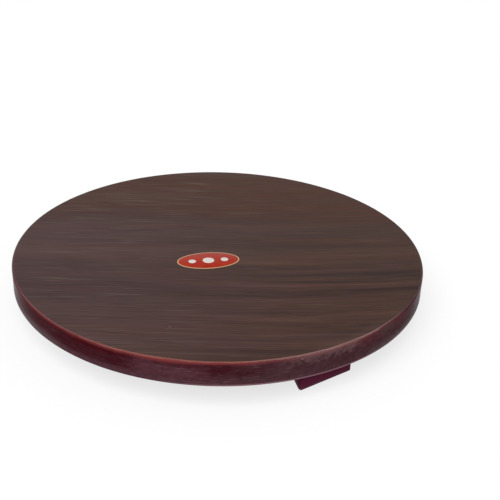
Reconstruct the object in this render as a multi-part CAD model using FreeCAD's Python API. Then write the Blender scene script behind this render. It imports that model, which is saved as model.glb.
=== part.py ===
"""Round rolling board: a wood core disc, a laminate sheet on its top, three foot blocks and their screws.

Millimetres, +Z up. The origin is on the table, under the middle of the board. The laminate's grain runs
along X, and the user stands on the -Y side.
"""
import FreeCAD
import Part
import math
import os

# Board
BOARD_DIAMETER = 254.0
CORE_THICKNESS = 14.0
LAMINATE_THICKNESS = 1.0
TOP_EDGE_RADIUS = 2.0
BOTTOM_EDGE_RADIUS = 1.0

# Feet: wedge-shaped blocks, wide side outwards
FOOT_NAMES = ["foot_front_right", "foot_back_right", "foot_left"]
FIRST_FOOT_ANGLE = -59.7
FOOT_TURN = 3.9
FOOT_HEIGHT = 13.0
FOOT_OUTER_WIDTH = 37.3
FOOT_INNER_WIDTH = 13.6
FOOT_DEPTH = 30.0
FOOT_SETBACK = 8.9
FOOT_CORNER_RADIUS = 1.5
FOOT_SOLE_CHAMFER = 0.8

# Countersunk wood screws, driven up through the feet into the core
SCREW_HEAD_DIAMETER = 7.0
SCREW_HEAD_LAND = 0.3
SCREW_HEAD_ANGLE = 90.0
SCREW_SHANK_DIAMETER = 2.6
SCREW_PLAIN_LENGTH = 7.0
SCREW_TIP_LENGTH = 3.5
SCREW_BITE = 7.8
THREAD_DIAMETER = 3.5
THREAD_ROOT_DIAMETER = 2.2
THREAD_PITCH = 1.6
THREAD_CREST = 0.2
THREAD_FLANK_ANGLE = 40.0
THREAD_ROOTING = 0.2
RECESS_SPAN = 4.2
RECESS_SLOT = 1.1
RECESS_DEPTH = 1.7
RECESS_TAPER = 0.5
HEAD_SINK = 0.8
HOLE_CLEARANCE = 0.1
SCREW_PLACES = [0.27, 0.70]

# Worked out from the values above
RADIUS = BOARD_DIAMETER / 2
CORE_TOP = FOOT_HEIGHT + CORE_THICKNESS
BOARD_TOP = CORE_TOP + LAMINATE_THICKNESS
SCREW_LENGTH = FOOT_HEIGHT - HEAD_SINK + SCREW_BITE
HEAD_RADIUS = SCREW_HEAD_DIAMETER / 2
SHANK_RADIUS = SCREW_SHANK_DIAMETER / 2
THREAD_RADIUS = THREAD_DIAMETER / 2
ROOT_RADIUS = THREAD_ROOT_DIAMETER / 2
HEAD_SLOPE = math.tan(math.radians(SCREW_HEAD_ANGLE / 2))
UP = FreeCAD.Vector(0, 0, 1)


def vec(x, y, z):
    return FreeCAD.Vector(x, y, z)


def lathe(points):
    """Solid turned about Z from (radius, height) points."""
    loop = [vec(r, 0, z) for r, z in points]
    face = Part.Face(Part.makePolygon(loop + loop[:1]))
    return face.revolve(vec(0, 0, 0), UP, 360)


def prism(points, z, height):
    """Solid with a flat outline of (x, y) points, from z upwards."""
    loop = [vec(x, y, z) for x, y in points]
    return Part.Face(Part.makePolygon(loop + loop[:1])).extrude(UP * height)


def board_blank():
    """Core and laminate as one disc, with the eased edges that run across both."""
    disc = Part.makeCylinder(RADIUS, BOARD_TOP - FOOT_HEIGHT, vec(0, 0, FOOT_HEIGHT))
    rims = [e for e in disc.Edges if isinstance(e.Curve, Part.Circle)]
    rims.sort(key=lambda e: e.BoundBox.ZMin)
    disc = disc.makeFillet(BOTTOM_EDGE_RADIUS, [rims[0]])
    top = max(disc.Edges, key=lambda e: e.BoundBox.ZMin)
    return disc.makeFillet(TOP_EDGE_RADIUS, [top])


def slab(bottom, top):
    """Slice of space between two heights, wider than the board."""
    side = BOARD_DIAMETER * 2
    return Part.makeBox(side, side, top - bottom, vec(-side / 2, -side / 2, bottom))


def foot_block():
    """Foot on its sole, with the middle of its outer face at the origin and its depth along -X."""
    outer = FOOT_OUTER_WIDTH / 2
    inner = FOOT_INNER_WIDTH / 2
    outline = [(0, -outer), (0, outer), (-FOOT_DEPTH, inner), (-FOOT_DEPTH, -inner)]
    block = prism(outline, 0, FOOT_HEIGHT)
    uprights = [e for e in block.Edges if e.BoundBox.ZLength > FOOT_HEIGHT / 2]
    block = block.makeFillet(FOOT_CORNER_RADIUS, uprights)
    sole = [e for e in block.Edges if e.BoundBox.ZMax < FOOT_HEIGHT / 2]
    return block.makeChamfer(FOOT_SOLE_CHAMFER, sole)


def cross_recess():
    """Cross-shaped hollow in the screw's head, narrowing upwards."""
    tool = None
    for turn in (0, 90):
        wires = []
        for z, scale in ((0, 1.0), (RECESS_DEPTH, RECESS_TAPER)):
            x = RECESS_SPAN / 2 * scale
            y = RECESS_SLOT / 2 * scale
            corners = [vec(-x, -y, z), vec(x, -y, z), vec(x, y, z), vec(-x, y, z)]
            wires.append(Part.makePolygon(corners + corners[:1]))
        bar = Part.makeLoft(wires, True, True)
        bar.rotate(vec(0, 0, 0), UP, turn)
        tool = bar if tool is None else tool.fuse(bar)
    return tool


def screw_thread():
    """One helical ridge, rooted in the screw's core."""
    length = SCREW_LENGTH - SCREW_TIP_LENGTH - SCREW_PLAIN_LENGTH
    low = ROOT_RADIUS - THREAD_ROOTING
    crest = THREAD_CREST / 2
    base = crest + (THREAD_RADIUS - low) * math.tan(math.radians(THREAD_FLANK_ANGLE / 2))
    profile = [(low, -base), (THREAD_RADIUS, -crest), (THREAD_RADIUS, crest), (low, base)]
    loop = [vec(r, 0, z) for r, z in profile]
    path = Part.makeHelix(THREAD_PITCH, length, ROOT_RADIUS)
    ridge = Part.Wire(path.Edges).makePipeShell([Part.makePolygon(loop + loop[:1])], True, True)
    ridge.translate(vec(0, 0, SCREW_PLAIN_LENGTH))
    return ridge


def wood_screw():
    """Screw with its head's flat face on the origin, pointing up."""
    cone_top = SCREW_HEAD_LAND + (HEAD_RADIUS - SHANK_RADIUS) / HEAD_SLOPE
    thread_end = SCREW_LENGTH - SCREW_TIP_LENGTH
    body = lathe([
        (0, 0), (HEAD_RADIUS, 0), (HEAD_RADIUS, SCREW_HEAD_LAND), (SHANK_RADIUS, cone_top),
        (SHANK_RADIUS, SCREW_PLAIN_LENGTH), (ROOT_RADIUS, SCREW_PLAIN_LENGTH), (ROOT_RADIUS, thread_end),
        (0, SCREW_LENGTH),
    ])
    return body.fuse(screw_thread()).cut(cross_recess())


def screw_hole():
    """What a foot loses to a screw: a sunk seat for the head and a clear hole for the thread."""
    wide = HEAD_RADIUS + HOLE_CLEARANCE
    narrow = THREAD_RADIUS + HOLE_CLEARANCE
    seat = HEAD_SINK + SCREW_HEAD_LAND
    throat = seat + (HEAD_RADIUS - narrow) / HEAD_SLOPE
    return lathe([
        (0, 0), (wide, 0), (wide, seat), (HEAD_RADIUS, seat), (narrow, throat), (narrow, FOOT_HEIGHT),
        (0, FOOT_HEIGHT),
    ])


def place_under_board(shape, number):
    """Moves a shape from the foot's own place to foot number's place under the board."""
    angle = FIRST_FOOT_ANGLE + number * 360 / len(FOOT_NAMES)
    moved = shape.copy()
    moved.rotate(vec(0, 0, 0), UP, FOOT_TURN)
    moved.translate(vec(RADIUS - FOOT_SETBACK, 0, 0))
    moved.rotate(vec(0, 0, 0), UP, angle)
    return moved


def save(name, shape):
    print(name, "solids", len(shape.Solids), "valid", shape.isValid(), "volume", round(shape.Volume, 1))
    shape.exportStep(os.path.join("parts", name + ".step"))


os.makedirs("parts", exist_ok=True)

foot = foot_block()
screws = []
for share in SCREW_PLACES:
    place = vec(-share * FOOT_DEPTH, 0, 0)
    hole = screw_hole()
    hole.translate(place)
    foot = foot.cut(hole)
    screw = wood_screw()
    screw.translate(place + UP * HEAD_SINK)
    screws.append(screw)

blank = board_blank()
core = blank.common(slab(FOOT_HEIGHT, CORE_TOP))
laminate = blank.common(slab(CORE_TOP, BOARD_TOP))

for number, name in enumerate(FOOT_NAMES):
    placed = [place_under_board(screw, number) for screw in screws]
    for screw in placed:
        core = core.cut(screw)
    save(name, place_under_board(foot, number))
    save(name + "_screws", Part.makeCompound(placed))

save("core_board", core)
save("top_laminate", laminate)
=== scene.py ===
"""Looks of a round rolling board: walnut-print laminate top, brushed maroon rim, feet, plain oval label."""
import math

import bpy
from mathutils import Matrix, Vector, noise


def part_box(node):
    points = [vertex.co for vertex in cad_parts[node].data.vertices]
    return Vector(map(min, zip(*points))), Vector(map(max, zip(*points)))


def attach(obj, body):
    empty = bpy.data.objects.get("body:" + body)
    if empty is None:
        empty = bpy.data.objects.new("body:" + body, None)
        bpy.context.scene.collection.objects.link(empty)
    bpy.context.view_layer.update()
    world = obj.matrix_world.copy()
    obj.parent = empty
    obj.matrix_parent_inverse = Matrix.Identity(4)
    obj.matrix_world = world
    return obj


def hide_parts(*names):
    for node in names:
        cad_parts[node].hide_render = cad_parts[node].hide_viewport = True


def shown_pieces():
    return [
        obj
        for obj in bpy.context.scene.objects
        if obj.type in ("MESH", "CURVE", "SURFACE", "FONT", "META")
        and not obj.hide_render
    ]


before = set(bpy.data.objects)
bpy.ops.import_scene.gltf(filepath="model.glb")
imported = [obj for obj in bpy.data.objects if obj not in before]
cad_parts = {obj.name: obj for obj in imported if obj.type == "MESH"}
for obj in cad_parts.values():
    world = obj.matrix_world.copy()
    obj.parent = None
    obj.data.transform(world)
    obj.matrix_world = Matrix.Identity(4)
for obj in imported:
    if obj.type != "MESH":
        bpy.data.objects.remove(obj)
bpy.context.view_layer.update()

MM = 0.001

# Board, from the solids it stands for
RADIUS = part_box("core_board")[1].x
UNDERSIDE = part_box("core_board")[0].z
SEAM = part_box("top_laminate")[0].z
BOARD_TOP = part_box("top_laminate")[1].z
TOP_EDGE_RADIUS = 2.0 * MM
BOTTOM_EDGE_RADIUS = 1.0 * MM

# Mesh of the board, with the unevenness of its sanded and painted rim
RIM_SEGMENTS = 480
RIM_RINGS = 24
ARC_STEPS = 8
RIM_WAVE = 0.12 * MM
RIM_WAVE_LENGTH = 24.0 * MM
RIM_WAVE_HEIGHT = 8.0 * MM
SHARP_ANGLE = math.radians(35)

# Label
LABEL_CENTRE = Vector((-6.6 * MM, -17.4 * MM, 0))
LABEL_LENGTH = 38.4 * MM
LABEL_WIDTH = 20.9 * MM
LABEL_THICKNESS = 0.12 * MM
LABEL_SIDE_HEIGHT = 0.6 * LABEL_THICKNESS
LABEL_TOP_SHARE = 0.992
LABEL_TURN = math.radians(10.5)
LABEL_SEGMENTS = 96

# Camera
CAMERA_DISTANCE = 4.4 * RADIUS
CAMERA_ELEVATION = math.radians(27.070)
CAMERA_PAN = math.radians(-1.975)
CAMERA_TILT = math.radians(-0.105)
CAMERA_ROLL = math.radians(-1.194)
CAMERA_CLIP_START = 0.01
FOCAL_PIXELS = 887.0
FRAME_PIXELS = 500
SENSOR_WIDTH = 36.0

# Light
WORLD_LIGHT = 0.45
SUN_STRENGTH = 1.8
SUN_ANGLE = math.radians(60)
SUN_FROM = Vector((-0.25, -0.45, 0.87))
FLOOR_SIDE = 8.0
FLOOR_GREY = (0.3, 0.3, 0.3)
FLOOR_GLOW = 0.73
WHITE = (1.0, 1.0, 1.0)

# Depth of the materials' relief
PAINT_RELIEF = 0.03 * MM
LAMINATE_RELIEF = 0.012 * MM
FOOT_RELIEF = 0.04 * MM
LABEL_RELIEF = 0.02 * MM

# Usual range of a pattern, and its values where a two-tone pattern has one colour or the other
PATTERN_RANGE = (0.3, 0.7)
TONE_STOPS = (0.35, 0.65)

# Values of a pattern where a mark begins and where it is strongest
PINK_SHEEN_RANGE = (0.1, 1.1)
SCRATCH_RANGE = (0.64, 0.72)
COOL_TINT_RANGE = (0.48, 0.30)
WARM_TINT_RANGE = (0.52, 0.70)
LIGHT_LINE_RANGE = (0.60, 0.70)
DARK_LINE_RANGE = (0.60, 0.71)

# Share of a speck's radius that has its full colour
SPECK_CORE = 0.4

# Lengths and places in the patterns below are in millimetres, heights above the table
EDGE = RADIUS / MM

# Marks on the rim, in degrees: direction from the axis, half width, half width at full strength
# Dusty places with a painted sheen, at the front right and at the back
DUST_AND_SHEEN = (-60, 36, 12)
BACK_DUST_AND_SHEEN = (100, 70)
# Painted pink sheen at the front
PINK_SHEEN = (-102, 13, 3)
# Painted mauve reflection of the floor, low on the rim
LOW_REFLECTION = (-118, 40, 18)
# Painted grazing reflections low on the rim, at its far left and right
LEFT_REFLECTION = (-155, 27, 8)
RIGHT_REFLECTION = (-34, 19, 6)
DEEP_RED_LEFT = (-120, 11, 3)
DEEP_RED_FRONT = (-99, 7, 2)
SCRATCHES = [(-78, 46, 20), (100, 50, 25)]
SCUFFS = [(-60, 17, 5), (118, 18, 5)]
# The upper edge's red line, wear with a painted highlight: where it shows, narrows, widens, shows its bare
# core and shows pale rubbing
WORN_AND_LIT_EDGE = [(-98, 68, 45), (90, 62, 40)]
NARROW_EDGE = [(-118, 8, 2), (-87, 14, 5)]
WIDE_EDGE = (-70, 48, 28)
BARE_AND_LIT_EDGE = (-86, 45, 20)
RUBBED_AND_LIT_EDGE = (-55, 34, 8)
CRIMSON_PATCHES = [(-50, 6, 2), (-36.5, 5, 1.5)]
DUSTY_PATCH = (-42.5, 4.5, 1.5)
# Painted reflections of the floor along the lower edge
LOWER_EDGE_REFLECTION = (-68, 40, 14)
PALE_LOWER_REFLECTION = [(-157, 13, 6), (-31, 10, 3)]

# Heights on the rim where a mark begins and where it is strongest
# Heights where dustiness and a painted reflection of the floor grow, low on the rim
DUST_AND_SHEEN_HEIGHTS = (22.0, 14.0)
PINK_SHEEN_HEIGHTS = (15.0, 20.0)
LOW_REFLECTION_HEIGHTS = (18.5, 15.0)
LEFT_REFLECTION_HEIGHTS = (21.0, 13.5)
RIGHT_REFLECTION_HEIGHTS = (20.0, 13.5)
SCUFF_HEIGHTS = (21.0, 27.0)
WORN_AND_LIT_HEIGHTS = (25.0, 26.8)
PATCH_HEIGHTS = (20.5, 24.5)
LOWER_REFLECTION_HEIGHTS = (14.7, 13.9)
PALE_REFLECTION_HEIGHTS = (16.0, 14.0)

# Deep red band under the upper edge's red line of wear and painted highlight, the narrowing of that line,
# and a chip in the paint
DEEP_RED_LOW = 24.4
DEEP_RED_HIGH = 25.8
DEEP_RED_BLUR = 1.2
EDGE_NARROWING = 0.5
RIM_CHIP = (43.7, -119.2, 25.8)
RIM_CHIP_RADIUS = 0.5

# Distances from the axis where a zone of the board begins and where it is complete
UNDERSIDE_RING = (EDGE - 1.0, EDGE - 2.0)
RUBBED_AND_LIT_RING = (EDGE - 7.0, EDGE - 2.0)
CORE_RING = (EDGE - 1.15, EDGE - 0.80)
PAINT_RING = (EDGE - 0.50, EDGE - 0.15)

# Extra width of the core line, bare and with its painted highlight, where it is widest
WIDE_EDGE_WIDTH = 0.30

# Print on the laminate: its lines bend to the back beyond a place on the right
BEND_START = 10.0
BEND_RATE = 0.0007
GRAIN_DRIFT = 4.0
DARK_BANDS = [(-67, -53), (37, 46)]
DARK_BAND_BLUR = 9.0
TOP_SPECK = (-25.7, -94.0, 28.0)
TOP_SPECK_RADIUS = 1.0

# Places along X where a change in the print and in the painted sheen and light on it begins and where it is
# complete
SHEEN_FADING_TO_RIGHT = (-100.0, 100.0)
BANDS_TO_LEFT = (60.0, -30.0)
PAINTED_LIGHT_TO_LEFT = (60.0, -110.0)
STREAKS_TO_RIGHT = (-60.0, 70.0)
LIGHT_LINES_TO_LEFT = (60.0, -80.0)

# The same along Y
PAINTED_LIGHT_TO_FRONT = (-15.0, -80.0)
RED_AND_SHADE_TO_BACK = (25.0, 65.0)
STREAKS_TO_FRONT = (10.0, -50.0)
LIGHT_LINES_TO_BACK = (-15.0, 40.0)

# Heights on a foot
FOOT_PAINTED_SHADE_HEIGHTS = (12.0, 2.0)
FOOT_DUST_HEIGHTS = (3.5, 0.5)

# Print on the label
LABEL_BORDER = 0.75
LABEL_BORDER_BLUR = 0.1
DOT_PITCH = 10.0
DOT_RADIUS = 3.5
DOT_SHRINK = 1.2

# Colours of the maroon paint, and of the painted sheen, reflections and highlights on it
MAROON = (0.069, 0.0110, 0.0170)
# Dusty maroon with a painted sheen
DUSTY_SHEEN_MAROON = (0.102, 0.0440, 0.0530)
# Pink maroon of a painted sheen
PINK_SHEEN_MAROON = (0.130, 0.0450, 0.0600)
# Mauve of the painted floor reflection
MAUVE_REFLECTION = (0.120, 0.0500, 0.0640)
# Pale grey of painted reflections
PALE_REFLECTION = (0.230, 0.2050, 0.2100)
DEEP_RED = (0.070, 0.0060, 0.0090)
SCRATCH_PINK = (0.260, 0.1500, 0.1600)
SCUFFED_PINK = (0.215, 0.1150, 0.1180)
# Reds of the upper edge: paint with a painted highlight
WORN_RED_HIGHLIGHT = (0.162, 0.0220, 0.0250)
BARE_RED_HIGHLIGHT = (0.220, 0.0370, 0.0400)
CRIMSON = (0.145, 0.0340, 0.0410)
DUSTY_BROWN = (0.130, 0.0700, 0.0660)
CHIP_PINK = (0.420, 0.2600, 0.2800)
# Colours of painted reflections on the lower edge
PINK_REFLECTION = (0.400, 0.2150, 0.2600)
GREY_REFLECTION = (0.400, 0.3500, 0.3550)

# Colours of the laminate's print and of its core, with the painted sheen, shade and highlights on them
DARK_GREY_SHEEN_WALNUT = (0.063, 0.035, 0.034)
GREY_SHEEN_WALNUT = (0.085, 0.049, 0.046)
DARK_BROWN_WALNUT = (0.052, 0.025, 0.019)
BROWN_WALNUT = (0.070, 0.035, 0.025)
COOL_TINT = (0.054, 0.0330, 0.0350)
WARM_TINT = (0.080, 0.0430, 0.0340)
DARK_BAND = (0.040, 0.0225, 0.0240)
SHADED_RED_WALNUT = (0.062, 0.0235, 0.0130)
LIGHT_LINE = (0.170, 0.125, 0.110)
DARK_LINE = (0.026, 0.013, 0.011)
SPECK_TAN = (0.250, 0.180, 0.150)
# Core line colours: the core's brown with a painted highlight, and unlit at the sides
WORN_CORE_HIGHLIGHT = (0.172, 0.068, 0.070)
BARE_CORE_HIGHLIGHT = (0.255, 0.092, 0.072)
RUBBED_CORE_HIGHLIGHT = (0.250, 0.142, 0.130)
UNLIT_CORE = (0.085, 0.048, 0.049)

# Colours of the feet, the screws and the label
DARK_PLUM = (0.150, 0.0220, 0.0570)
PLUM = (0.190, 0.0330, 0.0750)
DUSTY_PLUM = (0.200, 0.0950, 0.1250)
DULL_ZINC = (0.48, 0.45, 0.37)
BRIGHT_ZINC = (0.66, 0.64, 0.58)
LABEL_RED = (0.35, 0.018, 0.007)
FADED_RED = (0.41, 0.034, 0.015)
DOT_WHITE = (0.74, 0.68, 0.62)
BORDER_CREAM = (0.56, 0.36, 0.20)


class Nodes:
    """A node tree, with a short call for each kind of node used here."""

    def __init__(self, owner):
        owner.use_nodes = True
        self.tree = owner.node_tree

    def make(self, kind, **values):
        made = self.tree.nodes.new(kind)
        for key, value in values.items():
            setattr(made, key, value)
        return made

    def put(self, socket, value):
        if isinstance(value, bpy.types.NodeSocket):
            self.tree.links.new(value, socket)
        elif isinstance(value, tuple) and socket.type == "RGBA":
            socket.default_value = (*value, 1)
        else:
            socket.default_value = value

    def math(self, operation, a, b=0.0):
        made = self.make("ShaderNodeMath", operation=operation)
        self.put(made.inputs[0], a)
        self.put(made.inputs[1], b)
        return made.outputs[0]

    def add(self, total, *others):
        for other in others:
            total = self.math("ADD", total, other)
        return total

    def times(self, product, *others):
        for other in others:
            product = self.math("MULTIPLY", product, other)
        return product

    def seen(self):
        """1 for what is looked at, straight or by way of a mirror or glass; 0 for what only gives light."""
        path = self.make("ShaderNodeLightPath").outputs
        return self.add(path["Is Camera Ray"], path["Is Glossy Ray"], path["Is Transmission Ray"])

    def rise(self, value, low, high, to_low=0.0, to_high=1.0):
        """Smooth change from to_low to to_high as value goes from low to high."""
        made = self.make("ShaderNodeMapRange", interpolation_type="SMOOTHSTEP")
        for socket, number in zip(made.inputs, (value, low, high, to_low, to_high)):
            self.put(socket, number)
        return made.outputs[0]


class Shader(Nodes):
    """A material; lengths in its patterns are in millimetres."""

    def __init__(self, name):
        self.material = bpy.data.materials.new(name)
        super().__init__(self.material)
        self.surface = self.tree.nodes["Principled BSDF"]
        self.place = self.make("ShaderNodeTexCoord").outputs["Object"]

    def stretch(self, x, y, z):
        """The place in millimetres, scaled along each axis."""
        made = self.make("ShaderNodeMapping")
        self.put(made.inputs["Vector"], self.place)
        made.inputs["Scale"].default_value = (x / MM, y / MM, z / MM)
        return made.outputs[0]

    def split(self, vector):
        made = self.make("ShaderNodeSeparateXYZ")
        self.put(made.inputs[0], vector)
        return made.outputs

    def join(self, x, y, z):
        made = self.make("ShaderNodeCombineXYZ")
        for socket, value in zip(made.inputs, (x, y, z)):
            self.put(socket, value)
        return made.outputs[0]

    def from_axis(self):
        """Distance from the board's axis."""
        made = self.make("ShaderNodeVectorMath", operation="LENGTH")
        self.put(made.inputs[0], self.stretch(1, 1, 0))
        return made.outputs["Value"]

    def length(self, a, b):
        return self.math("SQRT", self.add(self.times(a, a), self.times(b, b)))

    def towards(self, direction, half_width, full_width=0.0):
        """1 within full_width of a direction from the board's axis, 0 beyond half_width, in degrees."""
        angle = math.radians(direction)
        made = self.make("ShaderNodeVectorMath", operation="DOT_PRODUCT")
        self.put(made.inputs[0], self.place)
        made.inputs[1].default_value = (math.cos(angle) / RADIUS, math.sin(angle) / RADIUS, 0)
        edge = math.cos(math.radians(half_width))
        return self.rise(made.outputs["Value"], edge, math.cos(math.radians(full_width)))

    def towards_any(self, places):
        """The strongest of several directions, each as in towards."""
        strongest = 0.0
        for place in places:
            strongest = self.math("MAXIMUM", self.towards(*place), strongest)
        return strongest

    def between(self, value, low, high, blur):
        """1 from low to high, fading out over blur on either side."""
        return self.times(self.rise(value, low - blur, low), self.rise(value, high + blur, high))

    def ease(self, share, at_none=0.0, at_full=1.0):
        """Smooth change from at_none to at_full as a share goes from 0 to 1."""
        return self.rise(share, 0.0, 1.0, at_none, at_full)

    def vary(self, pattern, at_least, at_most):
        """Smooth change from at_least to at_most over a pattern's usual range."""
        return self.rise(pattern, *PATTERN_RANGE, at_least, at_most)

    def swing(self, value, amount):
        """A pattern's value, moved to lie round 0 and scaled."""
        return self.times(self.add(value, -0.5), amount)

    def noise(self, vector, detail=2.0, rough=0.5):
        made = self.make("ShaderNodeTexNoise")
        self.put(made.inputs["Vector"], vector)
        made.inputs["Scale"].default_value = 1.0
        made.inputs["Detail"].default_value = detail
        made.inputs["Roughness"].default_value = rough
        return made.outputs[0]

    def speck(self, point, radius):
        """1 at a point, fading out to 0 at a radius."""
        made = self.make("ShaderNodeVectorMath", operation="DISTANCE")
        self.put(made.inputs[0], self.stretch(1, 1, 1))
        made.inputs[1].default_value = point
        return self.rise(made.outputs["Value"], radius, SPECK_CORE * radius)

    def two_tone(self, pattern, low, high):
        """One colour where a pattern is low, another where it is high."""
        made = self.make("ShaderNodeValToRGB")
        self.put(made.inputs[0], pattern)
        for element, position, colour in zip(made.color_ramp.elements, TONE_STOPS, (low, high)):
            element.position = position
            element.color = (*colour, 1)
        return made.outputs[0]

    def mix(self, share, a, b):
        made = self.make("ShaderNodeMix", data_type="RGBA")
        self.put(made.inputs[0], share)
        self.put(made.inputs[6], a)
        self.put(made.inputs[7], b)
        return made.outputs[2]

    def shade(self, colour, factor):
        made = self.make("ShaderNodeVectorMath", operation="SCALE")
        self.put(made.inputs[0], colour)
        self.put(made.inputs["Scale"], factor)
        return made.outputs[0]

    def bump(self, height, depth):
        """Relief whose full range of height is depth, in metres."""
        made = self.make("ShaderNodeBump")
        self.put(made.inputs["Height"], height)
        made.inputs["Distance"].default_value = depth
        self.put(self.surface.inputs["Normal"], made.outputs[0])

    def finish(self, colour, roughness, specular, metallic=0.0):
        self.put(self.surface.inputs["Base Color"], colour)
        self.put(self.surface.inputs["Roughness"], roughness)
        self.surface.inputs["Specular IOR Level"].default_value = specular
        self.surface.inputs["Metallic"].default_value = metallic
        return self.material


# Maroon paint

class RimPatterns:
    """What the steps of the paint share: heights on the rim, brush strokes, mottling and scratches."""

    def __init__(self, s):
        clouds = s.noise(s.stretch(0.05, 0.05, 0.10), detail=3.0)
        ragged = s.noise(s.stretch(0.12, 0.12, 0.12), detail=4.0, rough=0.7)
        round_rim = s.noise(s.stretch(0.03, 0.03, 0.75), detail=3.0, rough=0.6)
        below = s.noise(s.stretch(0.02, 0.60, 0.0), detail=3.0, rough=0.6)
        underneath = s.rise(s.from_axis(), *UNDERSIDE_RING)
        self.outside = s.math("SUBTRACT", 1.0, underneath)
        self.strokes = s.add(round_rim, s.times(s.swing(below, 1.0), underneath))
        self.mottle = s.noise(s.stretch(0.30, 0.30, 0.50), detail=3.0, rough=0.65)
        self.scratches = s.noise(s.stretch(0.13, 0.13, 1.6), detail=1.0)
        self.uneven = s.add(s.swing(clouds, 1.2), s.swing(self.strokes, 0.9))
        self.z = s.split(s.stretch(1, 1, 1))[2]
        self.wavy_z = s.add(self.z, s.add(s.swing(clouds, 2.0), s.swing(ragged, 2.0)))


def sheen_and_dust_paint(s, rim):
    """Brushed colour, dusty with a painted sheen in places, with a painted pink sheen at the front, a
    painted mauve reflection of the floor low on the rim and pale painted reflections at its sides; and how
    dusty and sheened it is.
    """
    # Dustiness with a painted sheen at the front right and back, and a painted reflection of the floor
    # lower down
    paler_share = s.add(s.times(s.towards(*DUST_AND_SHEEN), 0.70), s.times(s.towards(*BACK_DUST_AND_SHEEN), 0.5))
    paler_share = s.add(paler_share, rim.uneven, s.rise(rim.z, *DUST_AND_SHEEN_HEIGHTS, to_high=0.45))
    colour = s.mix(s.ease(paler_share), MAROON, DUSTY_SHEEN_MAROON)
    # Painted sheen: a pink reflection at the front, stronger higher on the rim
    pink = s.times(s.towards(*PINK_SHEEN), s.rise(rim.z, *PINK_SHEEN_HEIGHTS, 0.55, 0.95))
    pink = s.add(pink, s.times(rim.uneven, 0.9))
    colour = s.mix(s.rise(pink, *PINK_SHEEN_RANGE), colour, PINK_SHEEN_MAROON)
    # Painted reflection of the floor: mauve low on the rim, strongest at the front left
    strongest = s.ease(s.towards(*LOW_REFLECTION), 0.35, 0.9)
    low = s.rise(s.add(rim.z, s.times(rim.uneven, 1.5)), *LOW_REFLECTION_HEIGHTS, to_high=strongest)
    colour = s.mix(low, colour, MAUVE_REFLECTION)
    # Painted reflections: pale grazing reflections low on the rim at its far left and right
    for place, heights in ((LEFT_REFLECTION, LEFT_REFLECTION_HEIGHTS), (RIGHT_REFLECTION, RIGHT_REFLECTION_HEIGHTS)):
        pale = s.rise(s.add(rim.z, s.times(rim.uneven, 2.0)), *heights, to_high=0.45)
        colour = s.mix(s.times(s.towards(*place), pale), colour, PALE_REFLECTION)
    return colour, paler_share


def mottled_paint(s, rim, colour):
    """Deep red places under the upper edge, and mottling all over."""
    band = s.between(rim.wavy_z, DEEP_RED_LOW, DEEP_RED_HIGH, DEEP_RED_BLUR)
    for place, strength in ((DEEP_RED_LEFT, 0.9), (DEEP_RED_FRONT, 0.5)):
        colour = s.mix(s.times(s.towards(*place), band, strength), colour, DEEP_RED)
    return s.shade(colour, s.vary(rim.mottle, 0.84, 1.16))


def scuffed_paint(s, rim, colour):
    """Fine scratches along the rim, and scuffs high on it."""
    scratched = s.times(s.rise(rim.scratches, *SCRATCH_RANGE), s.towards_any(SCRATCHES), 0.30)
    colour = s.mix(scratched, colour, SCRATCH_PINK)
    scuffed = s.rise(s.add(rim.wavy_z, s.swing(rim.mottle, 14.0)), *SCUFF_HEIGHTS)
    return s.mix(s.times(scuffed, s.towards_any(SCUFFS), 0.9), colour, SCUFFED_PINK)


def worn_and_highlit_upper_edge(s, rim, colour):
    """Red line along the rounded edge, wear with a painted highlight where the edge catches the light,
    patches under it and one small chip.
    """
    # The red line is partly wear and partly a painted highlight, brightest at the front and back
    line = s.add(rim.wavy_z, s.times(s.towards_any(NARROW_EDGE), -EDGE_NARROWING))
    worn_and_lit = s.rise(line, *WORN_AND_LIT_HEIGHTS, to_high=0.9)
    worn_and_lit = s.times(worn_and_lit, s.ease(s.towards_any(WORN_AND_LIT_EDGE), 0.3, 1.0))
    worn_and_lit = s.times(worn_and_lit, s.ease(s.towards(*RUBBED_AND_LIT_EDGE), 1.0, 0.35))
    colour = s.mix(worn_and_lit, colour, s.mix(s.towards(*BARE_AND_LIT_EDGE), WORN_RED_HIGHLIGHT, BARE_RED_HIGHLIGHT))
    high = s.rise(s.add(rim.wavy_z, s.swing(rim.mottle, 8.0)), *PATCH_HEIGHTS, to_high=0.8)
    colour = s.mix(s.times(high, s.towards_any(CRIMSON_PATCHES)), colour, CRIMSON)
    colour = s.mix(s.times(high, s.towards(*DUSTY_PATCH)), colour, DUSTY_BROWN)
    return s.mix(s.speck(RIM_CHIP, RIM_CHIP_RADIUS), colour, CHIP_PINK)


def reflecting_lower_edge(s, rim, colour):
    """Painted reflection of the floor: a light line along the lower edge at the front, and paler painted
    reflections at its sides.
    """
    light = s.times(s.rise(rim.z, *LOWER_REFLECTION_HEIGHTS), s.towards(*LOWER_EDGE_REFLECTION), rim.outside)
    colour = s.mix(light, colour, PINK_REFLECTION)
    pale = s.rise(rim.z, *PALE_REFLECTION_HEIGHTS, to_high=0.4)
    pale = s.times(pale, s.towards_any(PALE_LOWER_REFLECTION), rim.outside)
    return s.mix(pale, colour, GREY_REFLECTION)


def brushed_paint(s):
    """Colour, share of dustiness and painted sheen, and relief of the maroon paint."""
    rim = RimPatterns(s)
    colour, paler_share = sheen_and_dust_paint(s, rim)
    for step in (mottled_paint, scuffed_paint, worn_and_highlit_upper_edge, reflecting_lower_edge):
        colour = step(s, rim, colour)
    return colour, paler_share, s.add(s.times(rim.strokes, 0.6), s.times(rim.mottle, 0.4))


def paint_material():
    """Maroon paint, duller where it is dusty and where its sheen is painted."""
    s = Shader("maroon_paint")
    colour, paler_share, relief = brushed_paint(s)
    s.bump(relief, PAINT_RELIEF)
    return s.finish(colour, roughness=s.ease(paler_share, 0.24, 0.46), specular=0.005)


# Laminate

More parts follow.
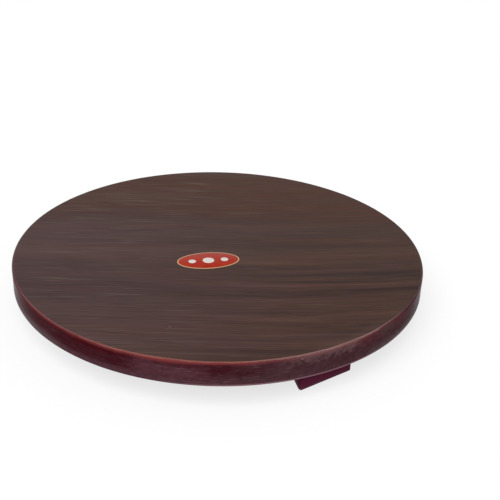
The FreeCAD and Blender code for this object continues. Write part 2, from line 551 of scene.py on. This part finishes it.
class GrainPatterns:
    """What the steps of the walnut print share: places on the board and patterns along the grain."""

    def __init__(self, s):
        self.x, self.y = s.split(s.stretch(1, 1, 1))[:2]
        bend = s.math("MAXIMUM", s.add(self.x, -BEND_START), 0.0)
        drift = s.noise(s.stretch(0.005, 0.012, 0), detail=1.0)
        self.across = s.add(self.y, s.times(bend, bend, -BEND_RATE), s.swing(drift, GRAIN_DRIFT))
        self.bands = self.lines(s, 0.003, 0.050, start=0.0, detail=2.0)
        self.tint = self.lines(s, 0.008, 0.070, start=27.0, detail=2.0)
        self.streaks = self.lines(s, 0.006, 0.14, start=79.2, detail=3.0, rough=0.55)
        self.light = self.lines(s, 0.026, 1.15, start=11.0, detail=0.8)
        self.dark = self.lines(s, 0.028, 1.05, start=17.0, detail=0.8)
        self.pores = self.lines(s, 0.080, 1.5, start=23.0, detail=2.0)

    def lines(self, s, along, across, start, detail, rough=0.5):
        """Pattern drawn out along the grain; start picks one of many alike."""
        place = s.join(s.times(self.x, along), s.times(self.across, across), start)
        return s.noise(place, detail, rough)


def walnut_tones(s, grain):
    """Broad bands; greyer on the left from a painted sheen that fades to browner on the right, painted
    light towards the left and front, and redder and darker at the back, partly painted shade.
    """
    # Painted sheen: greyer on the left, fading to brown on the right
    grey_sheen = s.two_tone(grain.bands, DARK_GREY_SHEEN_WALNUT, GREY_SHEEN_WALNUT)
    brown = s.two_tone(grain.bands, DARK_BROWN_WALNUT, BROWN_WALNUT)
    colour = s.mix(s.rise(grain.x, *SHEEN_FADING_TO_RIGHT), grey_sheen, brown)
    colour = s.mix(s.rise(grain.tint, *COOL_TINT_RANGE, to_high=0.30), colour, COOL_TINT)
    colour = s.mix(s.rise(grain.tint, *WARM_TINT_RANGE, to_high=0.35), colour, WARM_TINT)
    for front, back in DARK_BANDS:
        band = s.between(grain.across, front, back, DARK_BAND_BLUR)
        colour = s.mix(s.times(band, s.rise(grain.x, *BANDS_TO_LEFT, 0.12, 0.36)), colour, DARK_BAND)
    # Painted light: the print a little lighter towards the left and the front
    colour = s.shade(colour, s.rise(grain.x, *PAINTED_LIGHT_TO_LEFT, 0.95, 1.05))
    colour = s.shade(colour, s.rise(grain.y, *PAINTED_LIGHT_TO_FRONT, 1.0, 1.05))
    # Redder and darker at the back: partly the print's tone, partly painted shade
    return s.mix(s.rise(grain.y, *RED_AND_SHADE_TO_BACK, to_high=0.7), colour, SHADED_RED_WALNUT)


def walnut_lines(s, grain, colour):
    """Streaks and pores, strongest at the front right, and thin lines, the light ones on the left."""
    strength = s.rise(grain.x, *STREAKS_TO_RIGHT, 0.35, 1.6)
    strength = s.times(strength, s.rise(grain.y, *STREAKS_TO_FRONT, 0.8, 1.5))
    for pattern, contrast in ((grain.streaks, 1.1), (grain.pores, 0.35)):
        colour = s.shade(colour, s.add(s.times(s.swing(pattern, contrast), strength), 1.0))
    light = s.rise(grain.light, *LIGHT_LINE_RANGE)
    light = s.times(light, s.rise(grain.x, *LIGHT_LINES_TO_LEFT, 0.10, 0.36))
    light = s.times(light, s.rise(grain.y, *LIGHT_LINES_TO_BACK, 1.0, 1.4))
    colour = s.mix(light, colour, LIGHT_LINE)
    colour = s.mix(s.rise(grain.dark, *DARK_LINE_RANGE, to_high=0.45), colour, DARK_LINE)
    return s.mix(s.times(s.speck(TOP_SPECK, TOP_SPECK_RADIUS), 0.3), colour, SPECK_TAN)


def laminate_edge(s, colour):
    """The sheet's brown core where the print has come off, with a painted highlight where the edge catches
    the light and darker where it does not, and the rim's paint outside it.
    """
    ragged = s.noise(s.stretch(0.12, 0.12, 0.0), detail=4.0, rough=0.7)
    out = s.add(s.from_axis(), s.swing(ragged, 1.0), s.times(s.towards(*WIDE_EDGE), WIDE_EDGE_WIDTH))
    # Painted highlight on the core's brown at the front and back; darker, unlit, at the sides
    core = s.mix(s.towards(*BARE_AND_LIT_EDGE), WORN_CORE_HIGHLIGHT, BARE_CORE_HIGHLIGHT)
    core = s.mix(s.towards(*RUBBED_AND_LIT_EDGE), core, RUBBED_CORE_HIGHLIGHT)
    core = s.mix(s.towards_any(WORN_AND_LIT_EDGE), UNLIT_CORE, core)
    core = s.shade(core, s.vary(ragged, 1.15, 0.85))
    rubbed_and_lit = s.times(s.towards(*RUBBED_AND_LIT_EDGE), s.rise(out, *RUBBED_AND_LIT_RING, to_high=0.08))
    colour = s.mix(rubbed_and_lit, colour, core)
    colour = s.mix(s.rise(out, *CORE_RING), colour, core)
    return s.mix(s.rise(out, *PAINT_RING), colour, brushed_paint(s)[0])


def laminate_material():
    """Matte walnut print, straight and fine along X, with painted sheen, light and shade on it, and an edge
    that shows wear and a painted highlight.
    """
    s = Shader("walnut_laminate")
    grain = GrainPatterns(s)
    colour = laminate_edge(s, walnut_lines(s, grain, walnut_tones(s, grain)))
    s.bump(s.add(grain.streaks, grain.pores), LAMINATE_RELIEF)
    return s.finish(colour, roughness=s.vary(grain.streaks, 0.42, 0.55), specular=0.045)


# Feet, screws, label and floor

def foot_material():
    """Plum paint brushed on a wood block, darker under the board with painted shade, dusty along the sole.
    """
    s = Shader("foot_paint")
    z = s.split(s.stretch(1, 1, 1))[2]
    strokes = s.noise(s.stretch(0.9, 0.12, 1.1), detail=3.0, rough=0.6)
    patches = s.noise(s.stretch(0.12, 0.12, 0.12), detail=2.0)
    colour = s.two_tone(patches, DARK_PLUM, PLUM)
    colour = s.shade(colour, s.vary(strokes, 0.85, 1.15))
    # Painted shade: darker towards the top, under the board
    colour = s.shade(colour, s.rise(z, *FOOT_PAINTED_SHADE_HEIGHTS, 0.80, 1.08))
    paler_share = s.rise(s.add(z, s.swing(patches, 2.0)), *FOOT_DUST_HEIGHTS, to_high=0.6)
    colour = s.mix(paler_share, colour, DUSTY_PLUM)
    s.bump(strokes, FOOT_RELIEF)
    return s.finish(colour, roughness=s.vary(patches, 0.32, 0.5), specular=0.006)


def screw_material():
    """Zinc-plated steel with a faint yellow cast and duller patches."""
    s = Shader("zinc_steel")
    patches = s.noise(s.stretch(0.6, 0.6, 0.6), detail=3.0)
    colour = s.two_tone(patches, DULL_ZINC, BRIGHT_ZINC)
    return s.finish(colour, roughness=s.vary(patches, 0.5, 0.28), specular=0.5, metallic=1.0)


def inside_label(s, along, up):
    """Distance from the label's outline, inwards."""
    half_length = LABEL_LENGTH / MM / 2
    half_width = LABEL_WIDTH / MM / 2
    u = s.math("DIVIDE", along, half_length)
    v = s.math("DIVIDE", up, half_width)
    out = s.length(u, v)
    slope = s.length(s.math("DIVIDE", u, half_length), s.math("DIVIDE", v, half_width))
    return s.math("DIVIDE", s.times(s.math("SUBTRACT", 1.0, out), out), slope)


def label_dots(s, along, up):
    """1 in a dot in the middle and in a smaller one on either side, 0 elsewhere."""
    number = s.math("ROUND", s.math("DIVIDE", along, DOT_PITCH))
    from_middle = s.math("SUBTRACT", along, s.times(number, DOT_PITCH))
    radius = s.add(s.times(s.math("ABSOLUTE", number), -DOT_SHRINK), DOT_RADIUS)
    return s.math("LESS_THAN", s.length(from_middle, up), radius)


def label_material():
    """Printed oval: slightly faded red field, thin cream border, plain dots."""
    s = Shader("label_paper")
    along, up = s.split(s.stretch(1, 1, 1))[:2]
    fade = s.noise(s.stretch(0.15, 0.2, 0.0), detail=3.0)
    colour = s.mix(label_dots(s, along, up), s.two_tone(fade, LABEL_RED, FADED_RED), DOT_WHITE)
    inwards = inside_label(s, along, up)
    border = s.rise(inwards, LABEL_BORDER + LABEL_BORDER_BLUR, LABEL_BORDER - LABEL_BORDER_BLUR)
    colour = s.mix(border, colour, BORDER_CREAM)
    s.bump(fade, LABEL_RELIEF)
    return s.finish(colour, roughness=s.vary(fade, 0.3, 0.45), specular=0.06)


def floor_material():
    """Pale floor that shows white where nothing shades it."""
    s = Shader("pale_floor")
    s.put(s.surface.inputs["Emission Color"], WHITE)
    s.put(s.surface.inputs["Emission Strength"], s.times(s.seen(), FLOOR_GLOW))
    return s.finish(FLOOR_GREY, roughness=0.9, specular=0.0)


# Pieces

def add_piece(name, vertices, faces, material, place=None):
    mesh = bpy.data.meshes.new(name)
    mesh.from_pydata(vertices, [], faces)
    mesh.shade_smooth()
    mesh.set_sharp_from_angle(angle=SHARP_ANGLE)
    mesh.materials.append(material)
    piece = bpy.data.objects.new(name, mesh)
    bpy.context.collection.objects.link(piece)
    if place:
        piece.matrix_world = place
    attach(piece, "root")
    return piece


def turned(profile, ring, segments):
    """Vertices and faces of a closed round shape; ring(point, angle) places each (radius, height) point."""
    vertices = [(0, 0, profile[0][1]), (0, 0, profile[-1][1])]
    starts = []
    for point in profile[1:-1]:
        starts.append(len(vertices))
        vertices += [ring(point, 2 * math.pi * k / segments) for k in range(segments)]
    faces = []
    for k in range(segments):
        after = (k + 1) % segments
        faces.append((0, starts[0] + after, starts[0] + k))
        for low, high in zip(starts, starts[1:]):
            faces.append((low + k, low + after, high + after, high + k))
        faces.append((1, starts[-1] + k, starts[-1] + after))
    return vertices, faces


def rim_point(point, angle):
    """A point of the board, drawn in a little by waves near the rim, so that it stays within the radius."""
    r, z = point
    outward = Vector((math.cos(angle), math.sin(angle), 0))
    at = outward * (r / RIM_WAVE_LENGTH) + Vector((0, 0, z / RIM_WAVE_HEIGHT))
    wave = RIM_WAVE * (0.5 + 0.5 * noise.noise(at))
    return outward * (r - wave) + Vector((0, 0, z))


def arc(centre_r, centre_z, radius, start, end):
    """Points on an arc, angles in degrees from the outward direction."""
    angles = [math.radians(start + (end - start) * k / ARC_STEPS) for k in range(ARC_STEPS + 1)]
    return [(centre_r + radius * math.cos(a), centre_z + radius * math.sin(a)) for a in angles]


def make_board():
    """Core and laminate, which share the rounded upper edge."""
    low = UNDERSIDE + BOTTOM_EDGE_RADIUS
    high = BOARD_TOP - TOP_EDGE_RADIUS
    seam_angle = math.degrees(math.asin((SEAM - high) / TOP_EDGE_RADIUS))
    core = [(0, UNDERSIDE)]
    core += arc(RADIUS - BOTTOM_EDGE_RADIUS, low, BOTTOM_EDGE_RADIUS, -90, 0)
    core += [(RADIUS, low + (high - low) * k / RIM_RINGS) for k in range(1, RIM_RINGS)]
    core += arc(RADIUS - TOP_EDGE_RADIUS, high, TOP_EDGE_RADIUS, 0, seam_angle)
    core += [(0, SEAM)]
    vertices, faces = turned(core, rim_point, RIM_SEGMENTS)
    piece = add_piece("painted_core", vertices, faces, paint_material())
    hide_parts("core_board")

    sheet = [(0, SEAM)]
    sheet += arc(RADIUS - TOP_EDGE_RADIUS, high, TOP_EDGE_RADIUS, seam_angle, 90)
    sheet += [(0, BOARD_TOP)]
    vertices, faces = turned(sheet, rim_point, RIM_SEGMENTS)
    piece = add_piece("laminate_sheet", vertices, faces, laminate_material())
    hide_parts("top_laminate")


def label_point(point, angle):
    share, z = point
    return (LABEL_LENGTH / 2 * share * math.cos(angle), LABEL_WIDTH / 2 * share * math.sin(angle), z)


def make_label():
    """Thin oval with a softened edge, flat on the laminate."""
    side = [(1, 0), (1, LABEL_SIDE_HEIGHT), (LABEL_TOP_SHARE, LABEL_THICKNESS)]
    profile = [(0, 0), *side, (0, LABEL_THICKNESS)]
    vertices, faces = turned(profile, label_point, LABEL_SEGMENTS)
    centre = LABEL_CENTRE + Vector((0, 0, BOARD_TOP))
    place = Matrix.Translation(centre) @ Matrix.Rotation(LABEL_TURN, 4, "Z")
    add_piece("oval_label", vertices, faces, label_material(), place)


def dress_solids():
    """Materials for the feet and screws, which keep their solids' own meshes."""
    foot = foot_material()
    screw = screw_material()
    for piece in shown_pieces():
        if piece.name.startswith("foot_"):
            piece.data.materials.clear()
            piece.data.materials.append(screw if piece.name.endswith("_screws") else foot)


# Surroundings

def make_floor():
    half = FLOOR_SIDE / 2
    mesh = bpy.data.meshes.new("floor")
    corners = [(-half, -half, 0), (half, -half, 0), (half, half, 0), (-half, half, 0)]
    mesh.from_pydata(corners, [], [(0, 1, 2, 3)])
    mesh.materials.append(floor_material())
    floor = bpy.data.objects.new("floor", mesh)
    bpy.context.collection.objects.link(floor)


def make_world():
    """White where it is seen or mirrored, softer as light on the object."""
    world = bpy.data.worlds.new("soft_room")
    bpy.context.scene.world = world
    n = Nodes(world)
    background = n.tree.nodes["Background"]
    n.put(background.inputs["Color"], WHITE)
    n.put(background.inputs["Strength"], n.rise(n.seen(), 0.0, 1.0, WORLD_LIGHT, 1.0))


def make_sun():
    lamp = bpy.data.lights.new("soft_key", "SUN")
    lamp.energy = SUN_STRENGTH
    lamp.angle = SUN_ANGLE
    sun = bpy.data.objects.new("soft_key", lamp)
    sun.rotation_mode = "QUATERNION"
    sun.rotation_quaternion = SUN_FROM.to_track_quat("Z", "Y")
    bpy.context.collection.objects.link(sun)


def make_camera():
    lens = bpy.data.cameras.new("camera")
    lens.sensor_width = SENSOR_WIDTH
    lens.lens = SENSOR_WIDTH * FOCAL_PIXELS / FRAME_PIXELS
    lens.clip_start = CAMERA_CLIP_START
    camera = bpy.data.objects.new("camera", lens)
    bpy.context.collection.objects.link(camera)
    turn = Matrix.Rotation(math.pi / 2 - CAMERA_ELEVATION, 4, "X")
    turn = turn @ Matrix.Rotation(CAMERA_PAN, 4, "Y")
    turn = turn @ Matrix.Rotation(CAMERA_TILT, 4, "X")
    turn = turn @ Matrix.Rotation(-CAMERA_ROLL, 4, "Z")
    back = Vector((0, -math.cos(CAMERA_ELEVATION), math.sin(CAMERA_ELEVATION)))
    camera.matrix_world = Matrix.Translation(Vector((0, 0, BOARD_TOP)) + back * CAMERA_DISTANCE) @ turn
    bpy.context.scene.camera = camera


make_board()
make_label()
dress_solids()
make_floor()
make_world()
make_sun()
make_camera()
bpy.context.scene.view_settings.view_transform = "Standard"
